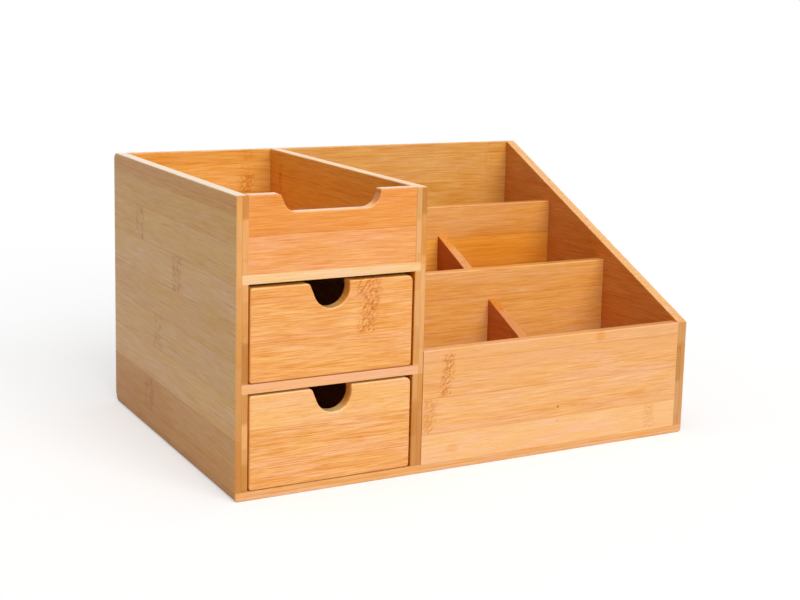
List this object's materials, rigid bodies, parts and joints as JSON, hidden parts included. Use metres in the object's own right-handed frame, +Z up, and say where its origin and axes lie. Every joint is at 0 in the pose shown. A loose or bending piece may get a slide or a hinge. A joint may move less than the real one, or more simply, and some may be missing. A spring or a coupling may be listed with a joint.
{
  "type": "desk organizer",
  "caption": "Bamboo desk organizer with an open bin over stacked drawers on the left and stepped pen and phone bays on the right.",
  "frame": {"origin": "middle of the base board's underside", "axes": "+Z up, +X to the right as seen from the front, the drawers open towards -Y"},
  "size_m": [0.33, 0.23, 0.18],
  "materials": {
    "carcass_bamboo": "clear satin lacquer on bamboo",
    "front_bamboo": "clear satin lacquer on bamboo",
    "edge_bamboo": "clear satin lacquer on bamboo",
    "divider_bamboo": "clear satin lacquer on bamboo",
    "drawer_box_bamboo": "sanded bamboo",
    "drawer_floor": "sanded thin plywood"
  },
  "bodies": {
    "carcass": {"base_board": "edge_bamboo", "left_side_panel": "carcass_bamboo", "centre_partition": "carcass_bamboo", "right_side_panel": "carcass_bamboo", "back_panel": "carcass_bamboo", "lower_shelf": "edge_bamboo", "upper_shelf": "edge_bamboo", "bin_front_board": "front_bamboo", "low_front_board": "front_bamboo", "middle_divider": "divider_bamboo", "rear_divider": "divider_bamboo", "front_cross_divider": "divider_bamboo", "rear_cross_divider": "divider_bamboo"},
    "upper_drawer": {"upper_drawer_front": "front_bamboo", "upper_drawer_left_side": "drawer_box_bamboo", "upper_drawer_right_side": "drawer_box_bamboo", "upper_drawer_back": "drawer_box_bamboo", "upper_drawer_bottom": "drawer_floor"},
    "lower_drawer": {"lower_drawer_front": "front_bamboo", "lower_drawer_left_side": "drawer_box_bamboo", "lower_drawer_right_side": "drawer_box_bamboo", "lower_drawer_back": "drawer_box_bamboo", "lower_drawer_bottom": "drawer_floor"}
  },
  "joints": [
    {"name": "upper_drawer_slide", "type": "slide", "parent": "carcass", "child": "upper_drawer", "axis": [0, -1, 0], "range_m": [0, 0.15]},
    {"name": "lower_drawer_slide", "type": "slide", "parent": "carcass", "child": "lower_drawer", "axis": [0, -1, 0], "range_m": [0, 0.15]}
  ]
}
